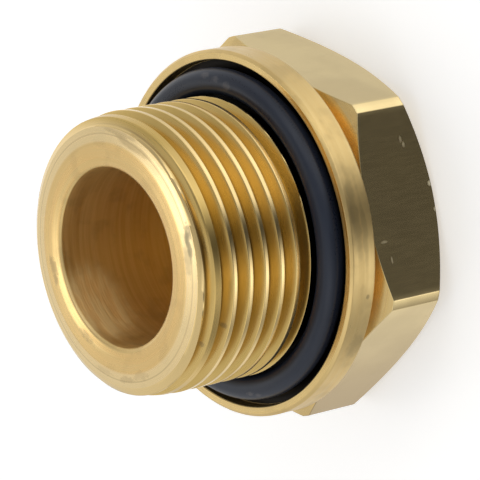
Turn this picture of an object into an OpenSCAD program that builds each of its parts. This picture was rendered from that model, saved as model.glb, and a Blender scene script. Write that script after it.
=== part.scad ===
// Hexagon head screw plug in turned brass, with a parallel pipe thread, a collar that seats on
// the port, and an O-ring in the collar's recess. Millimetres. The plug stands on its head: Z runs
// up its axis from the middle of the head's flat face to the thread's free end.

/* [Thread] */
// Diameter over the thread's crests
thread_d = 26.44; // [25.5:0.01:26.7]
// Distance from one crest to the next
thread_pitch = 1.814; // [1.6:0.002:2.1]
// Depth of the groove, crest to root
thread_depth = 1.162; // [0.8:0.01:1.2]
// Angle between the two flanks of the groove
thread_angle = 55; // [50:1:60]
// Width of the land left on each crest
thread_crest = 0.44; // [0.36:0.01:0.5]
// Distance from the thread's end face to the relief behind the thread
thread_length = 12.35; // [10:0.05:12.6]
// Turn of the thread about the axis, in degrees
thread_phase = 313; // [0:1:360]

/* [Thread end] */
// Width of the lead chamfer, in from the crests
lead_chamfer_w = 1.12; // [0.8:0.01:1.3]
// Height of the lead chamfer
lead_chamfer_h = 0.65; // [0.4:0.05:1]
// Width of the shallow bevel between the lead chamfer and the flat of the end face
end_bevel_w = 1.2; // [0.6:0.05:1.8]
// Height of the shallow bevel
end_bevel_h = 0.22; // [0.1:0.01:0.4]

/* [Shank] */
// Distance from the collar's seat face to the thread's end face
shank_h = 13.7; // [13.4:0.1:16]
// Depth of the relief below the thread's root
relief_drop = 0.2; // [0.1:0.05:0.6]
// Radius in the two corners of the relief
relief_corner = 0.4; // [0.2:0.05:0.6]

/* [Collar] */
// Diameter of the collar
collar_d = 34.7; // [34:0.1:36]
// Thickness of the collar
collar_h = 3; // [2.5:0.1:4]
// Bevel on the collar's two outer edges
collar_bevel = 0.25; // [0.1:0.05:0.4]
// Depth of the O-ring's recess below the seat face
recess_depth = 1.25; // [0.9:0.05:1.5]
// Bevel on the recess's mouth
recess_bevel = 0.12; // [0.05:0.01:0.2]

/* [Head] */
// Distance across the flats
across_flats = 32; // [31:0.1:34]
// How much is turned off each corner of the hexagon
corner_cut = 0.27; // [0.1:0.01:0.5]
// Height of the head, below the collar
head_h = 9.2; // [8:0.1:12]
// How far the rim of the flat face that the plug stands on lies inside the flats
foot_inset = 0.9; // [0.5:0.1:2]
// Angle of the chamfer above that face
foot_angle = 33; // [28:1:36]
// How far the head lies inside the flats where it meets the collar
neck_inset = 1.1; // [0.5:0.1:2]
// Angle of the chamfer below the collar
neck_angle = 26; // [22:1:32]

/* [Bore] */
// Diameter of the blind bore
bore_d = 16.76; // [14:0.02:18]
// Depth of the bore from the thread's end face
bore_depth = 19; // [14:0.5:21]
// Radius in the bottom corner of the bore
bore_corner = 0.8; // [0.4:0.1:1.5]
// Bevel on the bore's mouth
bore_bevel = 0.3; // [0.1:0.05:0.6]

/* [O-ring] */
// Thickness of the O-ring
ring_section = 2.5; // [2.2:0.05:2.7]
// How much smaller the O-ring's hole is than the thread, which it is stretched over
ring_undersize = 0.04; // [0.02:0.01:0.3]
// Clearance between the O-ring and the floor of its recess
ring_clearance = 0.05; // [0.02:0.01:0.2]
// Clearance between the O-ring and the wall of its recess
recess_clearance = 0.67; // [0.3:0.01:0.8]

/* [Hidden] */
round_fn = 96;
// Overlap of solids that are joined or cut
eps = 0.5;
// Sections of the helical groove in one turn
turn_steps = 36;
// How far the groove's cutter stands out of the crests
cutter_out = 0.2;

seat_z = head_h + collar_h;
end_z = seat_z + shank_h;
floor_z = seat_z - recess_depth;
relief_z = end_z - thread_length;
lead_z = end_z - end_bevel_h - lead_chamfer_h;
end_bevel_r = thread_d / 2 - lead_chamfer_w;
end_flat_r = end_bevel_r - end_bevel_w;
corner_r = across_flats / 2 / cos(30) - corner_cut;
foot_r = across_flats / 2 - foot_inset;
neck_r = across_flats / 2 - neck_inset;
foot_rise = tan(foot_angle) * (corner_r - foot_r);
neck_drop = tan(neck_angle) * (corner_r - neck_r);
flank_run = tan(thread_angle / 2);
// Half widths of the groove at its root and at the top of its cutter
groove_top = (thread_pitch - thread_crest) / 2;
groove_root = groove_top - thread_depth * flank_run;
cutter_top = groove_top + cutter_out * flank_run;
// Radii of the groove's root, of its cutter's top and of the relief
root_r = thread_d / 2 - thread_depth;
cutter_r = thread_d / 2 + cutter_out;
relief_r = root_r - relief_drop;
// The groove starts in the relief and ends past the end face
groove_start = (floor_z + relief_z) / 2;
groove_rise = end_z + thread_pitch - groove_start;
groove_steps = ceil(turn_steps * groove_rise / thread_pitch);
// Radius of the middle of the O-ring's section, and of its recess
ring_r = (thread_d - ring_undersize + ring_section) / 2;
ring_z = floor_z + ring_clearance + ring_section / 2;
recess_r = ring_r + ring_section / 2 + recess_clearance;

// Section of the head, before its flats are cut
module head_section() {
  polygon([
    [0, 0],
    [foot_r, 0],
    [corner_r, foot_rise],
    [corner_r, head_h - neck_drop],
    [neck_r, head_h],
    [neck_r, head_h + eps],
    [0, head_h + eps]
  ]);
}

module head() {
  intersection() {
    rotate_extrude($fn = round_fn) head_section();
    cylinder(d = across_flats / cos(30), h = head_h + 2 * eps, $fn = 6);
  }
}

// Section of the collar and of the shank above it, as one turned outline
module collar_section() {
  polygon([
    [0, head_h],
    [collar_d / 2 - collar_bevel, head_h],
    [collar_d / 2, head_h + collar_bevel],
    [collar_d / 2, seat_z - collar_bevel],
    [collar_d / 2 - collar_bevel, seat_z],
    [0, seat_z]
  ]);
}

module shank_section() {
  polygon([
    [0, floor_z - eps],
    [thread_d / 2, floor_z - eps],
    [thread_d / 2, lead_z],
    [end_bevel_r, end_z - end_bevel_h],
    [end_flat_r, end_z],
    [0, end_z]
  ]);
}

// Section of the recess in the seat face, with its bevelled mouth
module recess_section() {
  polygon([
    [thread_d / 2, floor_z],
    [recess_r, floor_z],
    [recess_r, seat_z - recess_bevel],
    [recess_r + recess_bevel + eps, seat_z + eps],
    [thread_d / 2, seat_z + eps]
  ]);
}

// Section of the relief: a slot with round corners at its bottom
module relief_section() {
  corner_x = relief_r + relief_corner;
  translate([corner_x, floor_z])
    square([thread_d / 2 + eps - corner_x, relief_z - floor_z]);
  translate([relief_r, floor_z + relief_corner])
    square([2 * relief_corner, relief_z - floor_z - 2 * relief_corner]);
  for (z = [floor_z + relief_corner, relief_z - relief_corner])
    translate([corner_x, z]) circle(r = relief_corner, $fn = round_fn);
}

// Section of the bore, with its round bottom corner and bevelled mouth
module bore_section() {
  bottom = end_z - bore_depth;
  translate([0, bottom]) square([bore_d / 2 - bore_corner, bore_depth]);
  translate([0, bottom + bore_corner]) square([bore_d / 2, bore_depth - bore_corner + eps]);
  translate([bore_d / 2 - bore_corner, bottom + bore_corner])
    circle(r = bore_corner, $fn = round_fn);
  polygon([
    [0, end_z - bore_bevel],
    [bore_d / 2, end_z - bore_bevel],
    [bore_d / 2 + bore_bevel + eps, end_z + eps],
    [0, end_z + eps]
  ]);
}

// One section of the groove's cutter: root and top, below and above its middle
function groove_section(step) =
  let (
    turn = 360 * step / turn_steps,
    z = groove_start + thread_pitch * step / turn_steps,
    way = [cos(turn), sin(turn)]
  )
  [
    [root_r * way.x, root_r * way.y, z - groove_root],
    [cutter_r * way.x, cutter_r * way.y, z - cutter_top],
    [cutter_r * way.x, cutter_r * way.y, z + cutter_top],
    [root_r * way.x, root_r * way.y, z + groove_root]
  ];

// The helical groove, as a solid swept up the axis
module thread_groove() {
  points = [for (step = [0:groove_steps]) each groove_section(step)];
  sides = [
    for (step = [0:groove_steps - 1])
      for (side = [0:3])
        let (a = 4 * step + side, b = 4 * step + (side + 1) % 4)
        each [[a, b, b + 4], [a, b + 4, a + 4]]
  ];
  last = 4 * groove_steps;
  ends = [[3, 2, 1, 0], [last, last + 1, last + 2, last + 3]];
  rotate([0, 0, thread_phase])
    polyhedron(points = points, faces = concat(sides, ends), convexity = 10);
}

module plug_body() {
  color("goldenrod")
    difference() {
      union() {
        head();
        rotate_extrude($fn = round_fn)
          difference() {
            union() {
              collar_section();
              shank_section();
            }
            recess_section();
            relief_section();
          }
      }
      rotate_extrude($fn = round_fn) bore_section();
      thread_groove();
    }
}

module o_ring() {
  color("darkslategray")
    rotate_extrude($fn = round_fn)
      translate([ring_r, ring_z]) circle(d = ring_section, $fn = round_fn);
}

plug_body();
o_ring();
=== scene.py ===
"""Looks of a threaded brass plug that stands on its hexagon head, with the thread up.

The turned body and its O-ring are built here as finer meshes than the frame's, at the same sizes
and places. These small forms are in the finer meshes alone: rounded edges and crests, first
crests that are turned down, an end bevel of two slopes that reaches 0.3 mm further in, a face
that falls a little to the bore, and a shoulder at the relief.
Sizes are in millimetres, and become metres in the meshes. Angles are in degrees.
"""

import math

import bpy
import numpy as np
from mathutils import Matrix, Vector


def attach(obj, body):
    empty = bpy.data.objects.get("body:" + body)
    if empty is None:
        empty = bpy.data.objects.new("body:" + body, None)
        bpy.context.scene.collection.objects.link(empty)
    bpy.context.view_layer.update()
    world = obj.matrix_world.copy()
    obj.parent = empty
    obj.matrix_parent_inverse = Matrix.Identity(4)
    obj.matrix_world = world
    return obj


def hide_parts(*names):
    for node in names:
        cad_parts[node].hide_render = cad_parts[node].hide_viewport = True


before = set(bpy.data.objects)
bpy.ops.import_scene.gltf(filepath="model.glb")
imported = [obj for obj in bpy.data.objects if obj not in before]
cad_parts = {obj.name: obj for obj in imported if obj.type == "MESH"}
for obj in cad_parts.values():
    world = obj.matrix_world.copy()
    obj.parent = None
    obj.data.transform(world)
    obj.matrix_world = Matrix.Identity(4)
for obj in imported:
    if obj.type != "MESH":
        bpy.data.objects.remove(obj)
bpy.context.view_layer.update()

MM = 0.001

# Thread: a G 3/4 parallel pipe thread
THREAD_R = 13.22
PITCH = 1.814
THREAD_DEPTH = 1.162
FLANK_ANGLE = 27.5
CREST_WIDTH = 0.44
THREAD_LENGTH = 12.35
THREAD_PHASE = 313
# How softly the roots and each crest's two edges are rounded
ROOT_ROUNDING = 0.14
UPPER_CREST_ROUNDING = 0.05
LOWER_CREST_ROUNDING = 0.04
# The last groove runs out against a shoulder at the relief: how much the shoulder's radius falls
# for each millimetre of height, and how softly it passes into the groove
SHOULDER_SLOPE = 3.1
SHOULDER_ROUNDING = 0.3
# Its mesh has level rows, which reach up to this many times the shoulder's height
SHOULDER_REACH = 1.25
SHOULDER_ROWS = 10
# The first crests are turned down from this height up, by this much for each millimetre of it
TAPER_Z = 22.9
TAPER_SLOPE = 0.16
# Thread end
LEAD_CHAMFER_W = 1.12
LEAD_CHAMFER_H = 0.65
LEAD_ROUNDING = 0.06
# Bevel of the end face, turned at two slopes that meet at the step
END_BEVEL_W = 1.5
END_BEVEL_H = 0.22
END_STEP_R = 11.48
END_STEP_H = 0.11
# Its first row lies this far inside the thread's last one
END_BEVEL_START = 0.02
# Shank and relief
SHANK_H = 13.7
RELIEF_DROP = 0.2
RELIEF_CORNER = 0.4
# Collar and the recess of the O-ring
COLLAR_R = 17.35
COLLAR_H = 3
COLLAR_BEVEL = 0.25
RECESS_DEPTH = 1.25
RECESS_BEVEL = 0.12
# Hexagon head
INSCRIBED_R = 16
CORNER_CUT = 0.27
CORNER_ROUNDING = 0.04
HEAD_H = 9.2
FOOT_INSET = 0.9
FOOT_ANGLE = 33
NECK_INSET = 1.1
NECK_ANGLE = 26
# Bore
BORE_R = 8.38
BORE_DEPTH = 19
BORE_CORNER = 0.8
BORE_BEVEL = 0.3
# The face falls a little to the bevel of the bore, from this radius
MOUTH_R = 9.5
MOUTH_DROP = 0.1
# O-ring
RING_SECTION = 2.5
RING_UNDERSIZE = 0.04
RING_CLEARANCE = 0.05
RECESS_CLEARANCE = 0.67
# Length of the rounding on each side of a turned edge, and of the edges of the end face
EDGE = 0.06
STEP_EDGE = 0.1
FLAT_EDGE = 0.12
MOUTH_EDGE = 0.15
BORE_EDGE = 0.12

# Most of a straight stretch that the rounding at one end takes, and the rows beside it
ROUNDING_SHARE = 0.3
GUARD_SHARE = 0.45
# Angle from one column of the body's mesh to the next, and the angles from each edge of the
# hexagon's corner strips to the columns beside it
COLUMN_STEP = 1.5
STRIP_COLUMNS = (-0.2, -0.1, 0, 0.1, 0.22)
# Columns that are the same to this many decimals of a degree are one
ANGLE_DECIMALS = 4
# Steps of the O-ring's mesh round the axis, and round its section
RING_STEPS = 240
SECTION_STEPS = 48
# Points that are the same to this many decimals of a millimetre are welded
WELD_DECIMALS = 3
# An edge that turns by more than this is shaded as sharp
SHARP_ANGLE = 36
# Length that counts as none
TINY = 1e-9

SEAT_Z = HEAD_H + COLLAR_H
END_Z = SEAT_Z + SHANK_H
FLOOR_Z = SEAT_Z - RECESS_DEPTH
RELIEF_Z = END_Z - THREAD_LENGTH
SHOULDER_Z = RELIEF_Z + SHOULDER_REACH * THREAD_DEPTH / SHOULDER_SLOPE
LEAD_Z = END_Z - END_BEVEL_H - LEAD_CHAMFER_H
END_BEVEL_Z = END_Z - END_BEVEL_H
END_BEVEL_R = THREAD_R - LEAD_CHAMFER_W
END_FLAT_R = END_BEVEL_R - END_BEVEL_W
CORNER_R = INSCRIBED_R / math.cos(math.radians(30)) - CORNER_CUT
FOOT_R = INSCRIBED_R - FOOT_INSET
NECK_R = INSCRIBED_R - NECK_INSET
ROOT_R = THREAD_R - THREAD_DEPTH
RELIEF_R = ROOT_R - RELIEF_DROP
RING_R = THREAD_R + (RING_SECTION - RING_UNDERSIZE) / 2
RING_Z = FLOOR_Z + RING_CLEARANCE + RING_SECTION / 2
RECESS_R = RING_R + RING_SECTION / 2 + RECESS_CLEARANCE
BORE_Z = END_Z - BORE_DEPTH


# Meshes

def column_angles():
    """The columns of the body's mesh: even steps, and closer ones at the hexagon's corners."""
    even = np.arange(0, 360, COLUMN_STEP)
    half_strip = 30 - math.degrees(math.acos(INSCRIBED_R / CORNER_R))
    near = half_strip + np.array(STRIP_COLUMNS)
    extra = [60 * k + side * near for k in range(6) for side in (-1, 1)]
    angles = np.unique(np.round(np.concatenate([even, *extra]) % 360, ANGLE_DECIMALS))
    return np.radians(np.append(angles, 360))


def smooth_min(a, b, blend):
    """The lesser of a and b, with the crease between them rounded."""
    return (a + b - np.sqrt((a - b) ** 2 + blend**2)) / 2


def unit(ways):
    """The vectors scaled to the length one. Those of no length stay as they are."""
    return ways / np.maximum(np.linalg.norm(ways, axis=1)[:, None], TINY)


class Skin:
    """Rows of points up and over the turned outline, with a point in each column, and the zone of
    each band between two rows."""

    def __init__(self, angles):
        self.angles = angles
        self.rows = []
        self.zones = []

    def point(self, r, z):
        """A point of the outline with the same radius and height in every column."""
        ones = np.ones(len(self.angles))
        return np.stack([r * ones, z * ones], 1)

    def add(self, zone, *points):
        for point in points:
            self.rows.append(point)
            self.zones.append(zone)

    def outline(self, corners):
        """Adds a chain of straight stretches with rounded corners. Each corner is the zone of the
        stretch that ends there, its point, and the length of its rounding if that isn't EDGE."""
        points = [corner[1] for corner in corners]
        self.add(corners[0][0], points[0])
        for i in range(1, len(corners)):
            zone, here, *rounding = corners[i]
            before = points[i - 1]
            if i + 1 == len(corners):
                self.add(zone, (before + here) / 2, here)
                continue
            back, ahead = unit(before - here), unit(points[i + 1] - here)
            span = np.linalg.norm(before - here, axis=1)[:, None]
            size = np.minimum(rounding[0] if rounding else EDGE, span * ROUNDING_SHARE)
            guard = np.minimum(2 * size, span * GUARD_SHARE)
            self.add(zone, here + back * (span - guard), here + back * guard)
            for step in (0, 1 / 3, 2 / 3, 1):
                self.add(zone, here + back * size * (1 - step) ** 2 + ahead * size * step**2)

    def mesh(self, name, zone_order):
        """Welds the grid's equal points and returns the mesh, with one material slot a zone."""
        grid = np.array(self.rows)
        r, z = grid[:, :, 0], grid[:, :, 1]
        points = np.stack([r * np.cos(self.angles), r * np.sin(self.angles), z], 2)
        rows, columns = r.shape
        _, first, same = np.unique(
            np.round(points.reshape(-1, 3), WELD_DECIMALS),
            axis=0, return_index=True, return_inverse=True,
        )
        same = same.reshape(-1)
        index = np.arange(rows * columns).reshape(rows, columns)
        quads = np.stack([index[:-1, :-1], index[:-1, 1:], index[1:, 1:], index[1:, :-1]], 2)
        slots = np.repeat([zone_order.index(zone) for zone in self.zones[1:]], columns - 1)
        faces, kept = [], []
        for quad, slot in zip(same[quads.reshape(-1, 4)].tolist(), slots.tolist()):
            corners = [c for i, c in enumerate(quad) if c != quad[i - 1]]
            if len(set(corners)) == len(corners) > 2:
                faces.append(corners)
                kept.append(slot)
        return make_mesh(name, points.reshape(-1, 3)[first] * MM, faces, kept)


def make_mesh(name, points, faces, slots=None):
    """The mesh, shaded smooth but for its sharp edges."""
    mesh = bpy.data.meshes.new(name)
    mesh.from_pydata(points.tolist(), [], faces)
    if slots is not None:
        mesh.polygons.foreach_set("material_index", slots)
    mesh.polygons.foreach_set("use_smooth", [True] * len(faces))
    mesh.validate()
    mesh.set_sharp_from_angle(angle=math.radians(SHARP_ANGLE))
    return mesh


def thread_profile():
    """One pitch of the thread: distances up from the middle of a groove to that of the next, and
    the radius at each."""
    run = math.tan(math.radians(FLANK_ANGLE))
    top = (PITCH - CREST_WIDTH) / 2
    bottom = top - THREAD_DEPTH * run
    # Rows are close at the root and at the crest's edges and wider between them: how far from the
    # root's corners and the crest's edges the close ones end, and the wider ones begin
    root, past_root = 0.1, 0.16
    edge, past_lower_edge, past_upper_edge = 0.05, 0.08, 0.09
    steps = np.concatenate([
        np.linspace(0, bottom + root, 4),
        np.linspace(bottom + past_root, top - past_lower_edge, 4),
        np.linspace(top - edge, top + edge, 5),
        np.linspace(PITCH / 2, PITCH - top - past_upper_edge, 2),
        np.linspace(PITCH - top - edge, PITCH - top + edge, 5),
        np.linspace(PITCH - top + past_upper_edge, PITCH - bottom - past_root, 5),
        np.linspace(PITCH - bottom - root, PITCH, 4),
    ])
    lower_flank = ROOT_R + (steps - bottom) / run
    upper_flank = ROOT_R + (PITCH - steps - bottom) / run
    radius = smooth_min(upper_flank, THREAD_R, UPPER_CREST_ROUNDING)
    radius = smooth_min(radius, lower_flank, LOWER_CREST_ROUNDING)
    radius = -smooth_min(-radius, -ROOT_R, ROOT_ROUNDING)
    # The rounding takes a little off the crest, which is given back
    return steps, radius + THREAD_R - radius.max()


def thread_rows(skin):
    """The thread's rows up to the end bevel: level ones on the shoulder, then helical ones."""
    offsets, radii = thread_profile()
    # Height of the middle of one groove at each column
    turned = skin.angles - math.radians(THREAD_PHASE)
    groove = (FLOOR_Z + RELIEF_Z) / 2 + PITCH * turned / (2 * math.pi)
    first = math.floor((SHOULDER_Z - groove.max()) / PITCH) - 1
    last = math.ceil((END_BEVEL_Z - groove.min()) / PITCH) + 1
    shoulder = np.linspace(RELIEF_Z, SHOULDER_Z, SHOULDER_ROWS)
    heights = [np.full(len(groove), z) for z in shoulder]
    for turn in range(first, last + 1):
        for offset in offsets[:-1]:
            z = np.clip(groove + turn * PITCH + offset, SHOULDER_Z, END_BEVEL_Z)
            if z.max() > SHOULDER_Z and z.min() < END_BEVEL_Z:
                heights.append(z)
    return [np.stack([thread_radius(groove, z, offsets, radii), z], 1) for z in heights]


def thread_radius(groove, z, offsets, radii):
    """The radius of the thread's surface at each column's height."""
    radius = np.interp((z - groove) % PITCH, offsets, radii)
    shoulder = THREAD_R - (z - RELIEF_Z) * SHOULDER_SLOPE
    radius = -smooth_min(-radius, -shoulder, SHOULDER_ROUNDING)
    taper = THREAD_R - (z - TAPER_Z) * TAPER_SLOPE
    radius = np.minimum(radius, np.minimum(taper, THREAD_R))
    cone = THREAD_R - (z - LEAD_Z) * LEAD_CHAMFER_W / LEAD_CHAMFER_H
    return smooth_min(radius, cone, LEAD_ROUNDING)


def body_skin():
    """The body's surface, from the middle of the foot over the outside and down into the bore."""
    skin = Skin(column_angles())
    p = skin.point
    sector = skin.angles % math.radians(60) - math.radians(30)
    head_r = smooth_min(INSCRIBED_R / np.cos(sector), CORNER_R, CORNER_ROUNDING)
    foot_top = math.tan(math.radians(FOOT_ANGLE)) * (head_r - FOOT_R)
    neck_low = HEAD_H - math.tan(math.radians(NECK_ANGLE)) * (head_r - NECK_R)
    skin.outline([
        ("foot", p(0, 0)),
        ("foot", p(FOOT_R, 0)),
        ("foot_cone", np.stack([head_r, foot_top], 1)),
        ("flats", np.stack([head_r, neck_low], 1)),
        ("neck", p(NECK_R, HEAD_H)),
        ("neck", p(COLLAR_R - COLLAR_BEVEL, HEAD_H)),
        ("collar", p(COLLAR_R, HEAD_H + COLLAR_BEVEL)),
        ("collar", p(COLLAR_R, SEAT_Z - COLLAR_BEVEL)),
        ("collar", p(COLLAR_R - COLLAR_BEVEL, SEAT_Z)),
        ("seat", p(RECESS_R + RECESS_BEVEL, SEAT_Z)),
        ("seat", p(RECESS_R, SEAT_Z - RECESS_BEVEL)),
        ("recess", p(RECESS_R, FLOOR_Z)),
        ("recess", p(RELIEF_R, FLOOR_Z), RELIEF_CORNER),
        ("recess", p(RELIEF_R, RELIEF_Z), RELIEF_CORNER),
        ("recess", p(ROOT_R - EDGE, RELIEF_Z)),
    ])
    skin.add("thread", *thread_rows(skin))
    skin.outline([
        ("thread", p(END_BEVEL_R - END_BEVEL_START, END_BEVEL_Z)),
        ("face", p(END_STEP_R, END_Z - END_STEP_H), STEP_EDGE),
        ("face", p(END_FLAT_R, END_Z), FLAT_EDGE),
        ("face", p(MOUTH_R, END_Z), MOUTH_EDGE),
        ("face", p(BORE_R + BORE_BEVEL, END_Z - MOUTH_DROP), MOUTH_EDGE),
        ("bore", p(BORE_R, END_Z - BORE_BEVEL), BORE_EDGE),
        ("bore", p(BORE_R, BORE_Z), BORE_CORNER),
        ("bore", p(0, BORE_Z)),
    ])
    return skin


def make_body():
    mesh = body_skin().mesh("turned_body", list(BODY_MATERIALS))
    body = bpy.data.objects.new("turned_body", mesh)
    bpy.context.scene.collection.objects.link(body)
    for material in BODY_MATERIALS.values():
        mesh.materials.append(material())
    return body


def make_ring():
    """The O-ring, as a torus."""
    turn = np.linspace(0, 2 * math.pi, RING_STEPS, endpoint=False)[:, None]
    across = np.linspace(0, 2 * math.pi, SECTION_STEPS, endpoint=False)[None, :]
    half = RING_SECTION / 2
    r = RING_R + half * np.cos(across) * np.ones_like(turn)
    z = RING_Z + half * np.sin(across) * np.ones_like(turn)
    points = np.stack([r * np.cos(turn), r * np.sin(turn), z], 2).reshape(-1, 3)
    index = np.arange(RING_STEPS * SECTION_STEPS).reshape(RING_STEPS, SECTION_STEPS)
    after, over = np.roll(index, -1, 0), np.roll(index, -1, 1)
    diagonal = np.roll(after, -1, 1)
    faces = np.stack([index, after, diagonal, over], 2).reshape(-1, 4)
    mesh = make_mesh("rubber_ring", points * MM, faces.tolist())
    mesh.materials.append(rubber())
    ring = bpy.data.objects.new("rubber_ring", mesh)
    bpy.context.scene.collection.objects.link(ring)
    return ring


# Materials

class Nodes:
    """A node tree, with short ways to add nodes and to feed their sockets."""

    def __init__(self, tree):
        self.tree = tree

    def put(self, value, socket):
        """Links another node's socket, or sets a number, a vector or an opaque colour."""
        if isinstance(value, bpy.types.NodeSocket):
            self.tree.links.new(value, socket)
        elif isinstance(value, tuple) and len(socket.default_value) == 4:
            socket.default_value = (*value, 1)
        else:
            socket.default_value = value

    def feed(self, node, *values):
        for value, socket in zip(values, node.inputs):
            self.put(value, socket)

    def math(self, operation, *values):
        node = self.tree.nodes.new("ShaderNodeMath")
        node.operation = operation
        self.feed(node, *values)
        return node.outputs[0]

    def vector(self, operation, *values, scale=None):
        node = self.tree.nodes.new("ShaderNodeVectorMath")
        node.operation = operation
        self.feed(node, *values)
        if scale is not None:
            node.inputs["Scale"].default_value = scale
        return node.outputs["Value"] if operation == "DOT_PRODUCT" else node.outputs[0]


class Paint(Nodes):
    """One material's nodes, with the place on the part: the radius r and the height z in
    millimetres, and the cosine and sine of the way round."""

    def __init__(self, name, colour, metallic, roughness):
        self.material = bpy.data.materials.new(name)
        self.material.use_nodes = True
        super().__init__(self.material.node_tree)
        self.shader = self.tree.nodes["Principled BSDF"]
        self.shader.inputs["Base Color"].default_value = (*colour, 1)
        self.shader.inputs["Metallic"].default_value = metallic
        self.shader.inputs["Roughness"].default_value = roughness
        place = self.tree.nodes.new("ShaderNodeTexCoord").outputs["Object"]
        self.place = self.vector("SCALE", place, scale=1 / MM)
        parts = self.tree.nodes.new("ShaderNodeSeparateXYZ")
        self.put(self.place, parts.inputs[0])
        x, y, self.z = parts.outputs
        self.r = self.math("SQRT", self.math("MULTIPLY_ADD", x, x, self.math("MULTIPLY", y, y)))
        self.cos = self.math("DIVIDE", x, self.r)
        self.sin = self.math("DIVIDE", y, self.r)

    def span(self, value, low, high, at_low=0.0, at_high=1.0):
        """Takes value's stretch low..high smoothly to at_low..at_high."""
        node = self.tree.nodes.new("ShaderNodeMapRange")
        node.interpolation_type = "SMOOTHSTEP"
        self.feed(node, value, low, high, at_low, at_high)
        return node.outputs[0]

    def mix(self, low, high, factor):
        """The colour that goes from low to high as the factor goes from 0 to 1."""
        node = self.tree.nodes.new("ShaderNodeMix")
        node.data_type = "RGBA"
        self.put(factor, node.inputs["Factor"])
        self.put(low, node.inputs["A"])
        self.put(high, node.inputs["B"])
        return node.outputs["Result"]

    def turned_noise(self, around, out, up, detail=2.0, roughness=0.5, seed=0.0):
        """Noise with this many waves a radian round the axis, and a millimetre outwards and up."""
        node = self.tree.nodes.new("ShaderNodeTexNoise")
        node.noise_dimensions = "4D"
        where = self.tree.nodes.new("ShaderNodeCombineXYZ")
        self.put(self.math("MULTIPLY", self.cos, around), where.inputs[0])
        self.put(self.math("MULTIPLY", self.sin, around), where.inputs[1])
        self.put(self.math("MULTIPLY", self.r, out), where.inputs[2])
        self.put(where.outputs[0], node.inputs["Vector"])
        self.put(self.math("MULTIPLY_ADD", self.z, up, seed), node.inputs["W"])
        node.inputs["Scale"].default_value = 1
        node.inputs["Detail"].default_value = detail
        node.inputs["Roughness"].default_value = roughness
        return node.outputs["Fac"]

    def plain_noise(self, place, scale, detail):
        """Noise with this many waves for each unit of place."""
        node = self.tree.nodes.new("ShaderNodeTexNoise")
        self.put(place, node.inputs["Vector"])
        node.inputs["Scale"].default_value = scale
        node.inputs["Detail"].default_value = detail
        return node.outputs["Fac"]

    def cloud(self, scale, detail, at_low=0.0, at_high=1.0):
        """Even noise with this many waves a millimetre, from at_low to at_high."""
        return self.span(self.plain_noise(self.place, scale, detail), 0.3, 0.7, at_low, at_high)

    def bump(self, height, depth, normal=None):
        """Raises the surface by height times depth millimetres."""
        node = self.tree.nodes.new("ShaderNodeBump")
        node.inputs["Distance"].default_value = depth * MM
        self.put(height, node.inputs["Height"])
        if normal is not None:
            self.put(normal, node.inputs["Normal"])
        return node.outputs[0]

    def spot(self, angle, r, z, along, out, up, ragged=0.25):
        """A soft, ragged mark at a place on the part: 1 inside and 0 outside. along, out and up
        are half its length round the axis, outwards and up."""
        turn = math.radians(angle)
        cos, sin = math.cos(turn), math.sin(turn)
        parts = (
            (self.vector("DOT_PRODUCT", self.place, (-sin, cos, 0.0)), 0.0, along),
            (self.vector("DOT_PRODUCT", self.place, (cos, sin, 0.0)), r, out),
            (self.z, z, up),
        )
        total = self.cloud(2.5 / along, 2.0, at_low=-ragged, at_high=ragged)
        for value, middle, half in parts:
            offset = self.math("DIVIDE", self.math("SUBTRACT", value, middle), half)
            total = self.math("MULTIPLY_ADD", offset, offset, total)
        return self.span(total, 0.1, 1.5, 1.0, 0.0)

    def marks(self, colour, dull, marks):
        """Paints marks over a surface and returns its new colour and roughness. Each mark is its
        colour, its roughness, its strength and what spot takes."""
        for mark_colour, mark_dull, strength, place in marks:
            spot = self.math("MULTIPLY", self.spot(*place), strength)
            colour = self.mix(colour, mark_colour, spot)
            dull = self.math("MULTIPLY_ADD", self.math("SUBTRACT", mark_dull, dull), spot, dull)
        return colour, dull

    def finish(self, colour, dull, normal):
        """Feeds the shader its colour, roughness and normal, and returns the material."""
        self.put(colour, self.shader.inputs["Base Color"])
        self.put(dull, self.shader.inputs["Roughness"])
        self.put(normal, self.shader.inputs["Normal"])
        return self.material


BRASS = (0.82, 0.59, 0.245)
PALE_BRASS = (0.90, 0.71, 0.36)
DEEP_BRASS = (0.70, 0.47, 0.16)
DRAWN_BRASS = (0.80, 0.625, 0.31)
FACE_BRASS = (0.82, 0.55, 0.22)
RIM_BRASS = (0.93, 0.76, 0.44)
BORE_BRASS = (0.76, 0.54, 0.21)
BORE_SHINE = (0.88, 0.66, 0.30)
PAINTED_LIGHT_BRASS = (0.95, 0.68, 0.30)
PAINTED_LIGHT_SHINE = (1.0, 0.80, 0.42)
GROOVE_BRASS = (0.73, 0.51, 0.165)
GROOVE_SHINE = (0.82, 0.58, 0.21)
CREST_BRASS = (0.92, 0.69, 0.33)
NICK = (0.95, 0.85, 0.6)
TARNISH_AND_DARK_REFLECTION = (0.34, 0.25, 0.12)
SHADED_FLAT_BRASS = (0.42, 0.30, 0.15)
PAINTED_DARK_REFLECTION = (0.33, 0.28, 0.17)
GROOVE_DARK = (0.16, 0.085, 0.025)
RECESS_SHADE = (0.012, 0.010, 0.008)
RECESS_HALF_SHADE = (0.05, 0.035, 0.015)
RUBBER = (0.021, 0.025, 0.038)
DEEP_RUBBER = (0.013, 0.017, 0.030)
BLOOM = (0.026, 0.033, 0.052)
DUST = (0.20, 0.185, 0.18)


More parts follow.
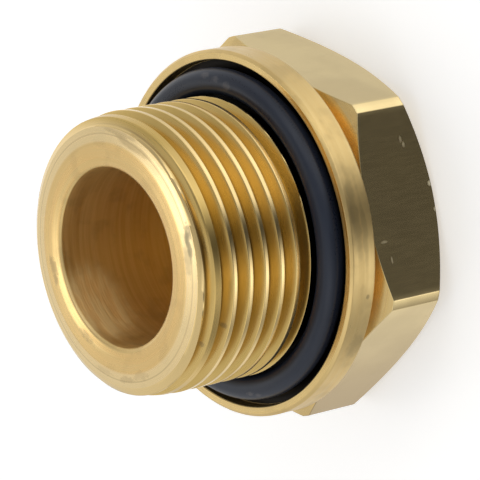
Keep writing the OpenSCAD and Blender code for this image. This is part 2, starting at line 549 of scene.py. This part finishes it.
def turned_brass(
    name, around, out, up, marks=(), depth=0.004, low=0.16, high=0.28, base=BRASS, line=None,
    metallic=1,
):
    """Turned brass: lines round the axis in colour, gloss and shape, and a cloudy tarnish over
    them. around, out and up are the lines' waves, depth their height in millimetres, and low and
    high the roughness between which they vary. line is the radius of a single darker line, with
    paler brass around and beyond it, if there is one."""
    paint = Paint("brass_" + name, base, metallic, 0.2)
    # The lines spread the shine across themselves
    paint.shader.inputs["Anisotropic"].default_value = 0.7
    paint.shader.inputs["Anisotropic Rotation"].default_value = 0.25
    fine = paint.turned_noise(around, out, up, 3, 0.6, seed=3.0)
    broad = paint.turned_noise(around * 0.7, out * 0.35, up * 0.35, 2, 0.5, seed=11.0)
    cloud = paint.cloud(0.35, 3)
    colour = paint.mix(DEEP_BRASS, PALE_BRASS, paint.span(fine, 0.2, 0.8, 0.3, 0.7))
    colour = paint.mix(colour, base, paint.span(broad, 0.35, 0.65, 0.4, 0.9))
    colour = paint.mix(colour, TARNISH_AND_DARK_REFLECTION, paint.span(cloud, 0.55, 1.0, 0.0, 0.16))
    if line is not None:
        beyond = paint.span(paint.r, line - 0.9, line - 0.6, 0.0, 0.55)
        colour = paint.mix(colour, RIM_BRASS, beyond)
        away = paint.math("ABSOLUTE", paint.math("SUBTRACT", paint.r, line))
        colour = paint.mix(colour, TARNISH_AND_DARK_REFLECTION, paint.span(away, 0.02, 0.1, 0.3, 0.0))
    dull = paint.math("MULTIPLY_ADD", cloud, 0.05, paint.span(broad, 0.3, 0.7, low, high))
    colour, dull = paint.marks(colour, dull, marks)
    return paint.finish(colour, dull, paint.bump(fine, depth, paint.bump(broad, depth * 2)))


def face_brass():
    """The end face and its bevel, with a turned line where the slopes meet, a painted dark
    reflection across the bevel, and smudges.
    """
    return turned_brass("face", 0.8, 7.0, 2.0, [
        # The first four marks paint a dark reflection across the bevel.
        (PAINTED_DARK_REFLECTION, 0.4, 0.65, (-24.5, 11.75, 25.75, 0.8, 0.4, 0.4, 0.5)),
        (PAINTED_DARK_REFLECTION, 0.4, 0.7, (-30.5, 11.5, 25.8, 1.5, 0.3, 0.4, 0.35)),
        (PAINTED_DARK_REFLECTION, 0.4, 0.6, (-27.0, 11.3, 25.8, 0.6, 0.2, 0.4, 0.35)),
        (PAINTED_DARK_REFLECTION, 0.4, 0.4, (-37.0, 11.1, 25.85, 1.6, 0.5, 0.4, 0.3)),
        (TARNISH_AND_DARK_REFLECTION, 0.35, 0.6, (150.6, 9.7, 25.9, 1.5, 0.5, 0.4, 0.4)),
        (TARNISH_AND_DARK_REFLECTION, 0.35, 0.5, (-164.7, 9.4, 25.9, 1.3, 0.35, 0.4, 0.4)),
        (TARNISH_AND_DARK_REFLECTION, 0.4, 0.3, (-128.5, 11.3, 25.84, 1.2, 0.35, 0.4, 0.5)),
        (TARNISH_AND_DARK_REFLECTION, 0.4, 0.22, (-117.0, 11.0, 25.86, 1.1, 0.5, 0.4, 0.5)),
        (TARNISH_AND_DARK_REFLECTION, 0.4, 0.2, (-146.0, 11.2, 25.84, 1.3, 0.3, 0.4, 0.4)),
        (TARNISH_AND_DARK_REFLECTION, 0.35, 0.45, (27.0, 11.3, 25.84, 2.4, 0.35, 0.4, 0.3)),
        (TARNISH_AND_DARK_REFLECTION, 0.35, 0.35, (38.0, 11.8, 25.75, 2.6, 0.25, 0.4, 0.3)),
    ], base=FACE_BRASS, line=END_STEP_R)


def collar_brass():
    """The collar: duller, with deeper lines than elsewhere, a painted dark reflection across it
    and a few stains.
    """
    return turned_brass("collar", 1.4, 3.0, 6.0, [
        # The first two marks paint a dark reflection across the collar; the other two are stains.
        (TARNISH_AND_DARK_REFLECTION, 0.3, 0.35, (-30.0, 17.35, 11.2, 4.5, 1.5, 0.5, 0.6)),
        (TARNISH_AND_DARK_REFLECTION, 0.3, 0.3, (-36.0, 17.35, 10.4, 4.0, 1.5, 0.3, 0.6)),
        (TARNISH_AND_DARK_REFLECTION, 0.4, 0.6, (-56.7, 17.35, 10.1, 0.25, 1.0, 0.2, 0.3)),
        (TARNISH_AND_DARK_REFLECTION, 0.35, 0.35, (-74.0, 17.35, 10.3, 1.5, 1.0, 0.9, 0.3)),
    ], depth=0.008, low=0.26, high=0.38, metallic=0.88)


def bore_brass():
    """The bore: dull and deep in colour, with a paler, coarser turned patch below its mouth, whose
    paler colour is a painted pool of light.
    """
    paint = Paint("brass_bore", BRASS, 0.85, 0.4)
    fine = paint.turned_noise(0.9, 2.0, 3.5, 3, 0.6, seed=3.0)
    coarse = paint.span(paint.turned_noise(2.0, 0.5, 1.3, 2, 0.5, seed=6.0), 0.35, 0.65)
    cloud = paint.cloud(0.35, 3)
    # The patch's paler colour is a painted pool of light; its coarser lines and roughness are the
    # surface's own.
    patch = paint.spot(-179, 8.4, 23.4, 4.6, 4.0, 3.4, 0.15)
    colour = paint.mix(BORE_BRASS, BORE_SHINE, paint.span(fine, 0.25, 0.75))
    colour = paint.mix(colour, TARNISH_AND_DARK_REFLECTION, paint.span(cloud, 0.5, 1.0, 0.0, 0.2))
    colour = paint.mix(colour, paint.mix(PAINTED_LIGHT_BRASS, PAINTED_LIGHT_SHINE, coarse), patch)
    dull = paint.math("MULTIPLY_ADD", patch, 0.3, paint.span(fine, 0.3, 0.7, 0.38, 0.5))
    height = paint.math("MULTIPLY_ADD", paint.math("MULTIPLY", coarse, patch), 4.0, fine)
    return paint.finish(colour, dull, paint.bump(height, 0.008))


def thread_brass():
    """The thread: crests and a lead chamfer that are polished by handling, and grooves whose
    roots are painted darker."""
    paint = Paint("brass_thread", BRASS, 1, 0.2)
    fine = paint.turned_noise(1.0, 7.0, 5.0, 3, 0.6)
    patch = paint.turned_noise(2.2, 0.5, 0.4, 2, 0.5, seed=5.0)
    on_cone = paint.span(paint.z, LEAD_Z - 0.1, LEAD_Z + 0.3)
    clear_of_roots = paint.math("MAXIMUM", paint.span(paint.r, ROOT_R, ROOT_R + 0.35), on_cone)
    on_crest = paint.span(paint.r, THREAD_R - 0.04, THREAD_R - 0.01)
    worn = paint.math("MAXIMUM", on_crest, on_cone)
    colour = paint.mix(GROOVE_BRASS, GROOVE_SHINE, paint.span(patch, 0.3, 0.7))
    colour = paint.mix(colour, CREST_BRASS, paint.math("MULTIPLY", worn, 0.8))
    # The roots are painted darker in blotches, which fade out towards the relief
    blotches = paint.turned_noise(2.0, 0.3, 0.6, 3, 0.5, seed=9.0)
    above = paint.span(paint.z, RELIEF_Z + 0.8, RELIEF_Z + 2.4)
    root_dark = paint.math("MULTIPLY", paint.span(blotches, 0.4, 0.6, 0.4, 1.0), above)
    root_dark = paint.math("MULTIPLY", paint.math("SUBTRACT", 1, clear_of_roots), root_dark)
    colour = paint.mix(colour, GROOVE_DARK, root_dark)
    dull = paint.math("MULTIPLY_ADD", fine, 0.08, paint.span(worn, 0, 1, 0.24, 0.13))
    colour, dull = paint.marks(colour, dull, [
        (TARNISH_AND_DARK_REFLECTION, 0.4, 0.9, (-75.6, 13.0, 24.6, 0.4, 0.8, 0.25)),
        (TARNISH_AND_DARK_REFLECTION, 0.4, 0.8, (-67.3, 13.0, 22.7, 0.35, 0.8, 0.25)),
    ])
    return paint.finish(colour, dull, paint.bump(fine, 0.004))


def flat_brass():
    """The hexagon's flats: bar stock with faint lines along its length, paler at the corners,
    painted darker on one side as shade, and with a few small nicks."""
    paint = Paint("brass_flats", DRAWN_BRASS, 1, 0.2)
    lines = paint.plain_noise(paint.vector("MULTIPLY", paint.place, (4.0, 4.0, 0.5)), 1, 3)
    cloud = paint.cloud(0.13, 3)
    colour = paint.mix(DRAWN_BRASS, PALE_BRASS, paint.span(lines, 0.3, 0.7, 0.0, 0.2))
    colour = paint.mix(colour, TARNISH_AND_DARK_REFLECTION, paint.span(cloud, 0.1, 1.0, 0.0, 0.18))
    dull = paint.math("MULTIPLY_ADD", cloud, 0.06, paint.span(lines, 0.3, 0.7, 0.165, 0.195))
    knocked = paint.span(paint.r, CORNER_R - 0.25, CORNER_R - 0.03)
    colour = paint.mix(colour, PALE_BRASS, paint.math("MULTIPLY", knocked, 0.25))
    # One side of the hexagon is painted darker, as shade.
    side = paint.vector("DOT_PRODUCT", paint.place, (-0.5, -0.866, 0.0))
    colour = paint.mix(colour, SHADED_FLAT_BRASS, paint.span(side, 9.0, 17.5, 0.0, 0.75))
    colour, dull = paint.marks(colour, dull, [
        (NICK, 0.6, 0.45, (-10.6, 16.9, 3.2, 0.30, 0.8, 0.15)),
        (NICK, 0.6, 0.6, (-12.3, 16.9, 2.95, 0.25, 0.8, 0.14)),
        (NICK, 0.6, 0.6, (-47.3, 16.8, 6.9, 0.32, 0.8, 0.1)),
        (NICK, 0.6, 0.45, (-41.5, 16.3, 7.4, 0.12, 0.8, 0.4)),
        (NICK, 0.6, 1.0, (-25.8, 16.0, 0.75, 0.25, 0.8, 0.25)),
        (NICK, 0.6, 1.0, (-34.5, 16.0, 0.6, 0.25, 0.8, 0.25)),
    ])
    return paint.finish(colour, dull, paint.bump(lines, 0.0012, paint.bump(cloud, 0.012)))


def recess_brass():
    """The recess and the relief: near black as painted shade, but for the recess's bright wall."""
    paint = Paint("brass_recess", RECESS_SHADE, 1, 0.4)
    mottle = paint.turned_noise(2.0, 2.0, 2.0, 2)
    # Painted shade: near black over the recess and relief, mottled a little.
    colour = paint.mix(RECESS_SHADE, RECESS_HALF_SHADE, paint.span(mottle, 0.55, 0.8))
    wall = paint.span(paint.r, RECESS_R - 0.06, RECESS_R - 0.02)
    colour = paint.mix(colour, BRASS, wall)
    return paint.finish(colour, paint.span(mottle, 0.3, 0.7, 0.35, 0.55), paint.bump(mottle, 0.004))


def rubber():
    """Black nitrile rubber with a bloom, a fine grain and a few soft smudges of dust."""
    paint = Paint("black_rubber", RUBBER, 0, 0.4)
    paint.shader.inputs["Specular IOR Level"].default_value = 0.35
    grain = paint.cloud(6.0, 3)
    bloom = paint.turned_noise(1.5, 0.8, 0.8, 3, 0.5)
    colour = paint.mix(DEEP_RUBBER, BLOOM, paint.span(bloom, 0.3, 0.7))
    dull = paint.math("MULTIPLY_ADD", grain, 0.06, paint.span(bloom, 0.3, 0.7, 0.24, 0.33))
    colour, dull = paint.marks(colour, dull, [
        (DUST, 0.6, 0.3, (51.5, 15.1, 13.3, 0.6, 0.3, 0.4, 0.5)),
        (DUST, 0.6, 0.25, (45.0, 14.85, 13.4, 0.5, 0.3, 0.4, 0.5)),
        (DUST, 0.6, 0.3, (38.5, 14.5, 13.5, 0.6, 0.4, 0.4, 0.5)),
        (DUST, 0.6, 0.35, (-120.9, 14.96, 13.4, 0.5, 0.2, 0.4, 0.5)),
        (DUST, 0.6, 0.3, (-117.0, 15.2, 13.3, 0.4, 0.2, 0.4, 0.5)),
    ])
    return paint.finish(colour, dull, paint.bump(grain, 0.0015))


# The body's zones, in the order of its material slots
BODY_MATERIALS = {
    "foot": lambda: turned_brass("foot", 0.8, 5.0, 2.0),
    "foot_cone": lambda: turned_brass("foot_cone", 1.0, 5.0, 3.0),
    "flats": flat_brass,
    "neck": lambda: turned_brass("neck", 1.0, 6.0, 4.0),
    "collar": collar_brass,
    "seat": lambda: turned_brass("seat", 1.0, 6.0, 3.0),
    "recess": recess_brass,
    "thread": thread_brass,
    "face": face_brass,
    "bore": bore_brass,
}


# Light, floor and camera

CAMERA_PLACE = (233.524, -129.838, 215.649)
CAMERA_AIM = (-0.3409, -0.6169, 11.2615)
CAMERA_ROLL = -101.743
CAMERA_LENS = 270
SENSOR = 36

# Half the floor's side in metres, and the glow that keeps it white
FLOOR_REACH = 3.0
FLOOR_GLOW = 0.42

# Light of the room between the panels
ROOM_LIGHT = 0.005

# Soft panels all round the part: each one's azimuth, elevation, tightness and strength
PANELS = {
    "key": (0, 20, 16, 0.9),
    "key_level": (2, -8, 22, 1.2),
    "key_low": (26, -37, 16, 0.9),
    "key_strip": (20, -37, 60, 0.4),
    "key_edge": (-2, -37, 70, 0.95),
    "key_far": (30, 20, 14, 0.85),
    "high_strip": (30, 44, 60, 1.15),
    "far": (60, 18, 6, 0.4),
    "far_low": (51, -37, 14, 0.45),
    "far_edge": (77, -37, 14, 0.25),
    "back": (120, -10, 3, 0.88),
    "back_high": (180, 18, 3, 0.4),
    "back_top": (200, 45, 3, 0.28),
    "overhead": (144, 72, 14, 1.0),
    "bevel_inner": (145, 50, 200, 1.8),
    "bevel_outer": (140, 56, 140, 1.3),
    "near": (270, 18, 6, 0.5),
    "near_high": (280, 48, 14, 0.8),
    "near_low": (293, -37, 32, 1.6),
    "near_back": (240, 20, 14, 0.36),
    "near_gap": (268, -37, 60, 0.4),
    "near_back_low": (215, -37, 10, 0.74),
    "under_back": (151, -46, 20, 1.0),
}


def make_camera():
    data = bpy.data.cameras.new("camera")
    data.lens = CAMERA_LENS
    data.sensor_width = SENSOR
    data.clip_start = 0.01
    data.clip_end = 10
    camera = bpy.data.objects.new("camera", data)
    bpy.context.scene.collection.objects.link(camera)
    place, aim = Vector(CAMERA_PLACE) * MM, Vector(CAMERA_AIM) * MM
    sight = (aim - place).normalized()
    upright = sight.to_track_quat("-Z", "Y").to_matrix()
    turned = Matrix.Rotation(math.radians(CAMERA_ROLL), 3, "Z")
    camera.matrix_world = Matrix.Translation(place) @ (upright @ turned).to_4x4()
    bpy.context.scene.camera = camera


def make_floor():
    mesh = bpy.data.meshes.new("floor")
    far = FLOOR_REACH
    corners = [(-far, -far, 0), (far, -far, 0), (far, far, 0), (-far, far, 0)]
    mesh.from_pydata(corners, [], [(0, 1, 2, 3)])
    floor = bpy.data.objects.new("floor", mesh)
    bpy.context.scene.collection.objects.link(floor)
    material = bpy.data.materials.new("pale_floor")
    material.use_nodes = True
    shader = material.node_tree.nodes["Principled BSDF"]
    shader.inputs["Base Color"].default_value = (0.9, 0.9, 0.9, 1)
    shader.inputs["Roughness"].default_value = 0.9
    shader.inputs["Emission Color"].default_value = (1, 1, 1, 1)
    shader.inputs["Emission Strength"].default_value = FLOOR_GLOW
    mesh.materials.append(material)
    floor.visible_glossy = False


def make_world():
    """The light: a dim room, and the panels, each of which adds
    strength * exp(tightness * (c - 1)), where c is the cosine of the angle to its middle."""
    world = bpy.data.worlds.new("studio")
    world.use_nodes = True
    nodes = Nodes(world.node_tree)
    way = nodes.tree.nodes.new("ShaderNodeTexCoord").outputs["Generated"]
    total = ROOM_LIGHT
    for azimuth, elevation, tightness, strength in PANELS.values():
        turn, rise = math.radians(azimuth), math.radians(elevation)
        flat = math.cos(rise)
        middle = (math.cos(turn) * flat, math.sin(turn) * flat, math.sin(rise))
        towards = nodes.vector("DOT_PRODUCT", way, middle)
        fall = nodes.math("MULTIPLY_ADD", towards, tightness, -tightness)
        total = nodes.math("MULTIPLY_ADD", nodes.math("EXPONENT", fall), strength, total)
    back = nodes.tree.nodes["Background"]
    nodes.put((1, 1, 1), back.inputs["Color"])
    nodes.put(total, back.inputs["Strength"])
    bpy.context.scene.world = world


body = make_body()
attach(body, "root")
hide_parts("plug_body")

ring = make_ring()
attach(ring, "root")
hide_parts("o_ring")

make_floor()
make_world()
make_camera()
bpy.context.scene.view_settings.view_transform = "Standard"
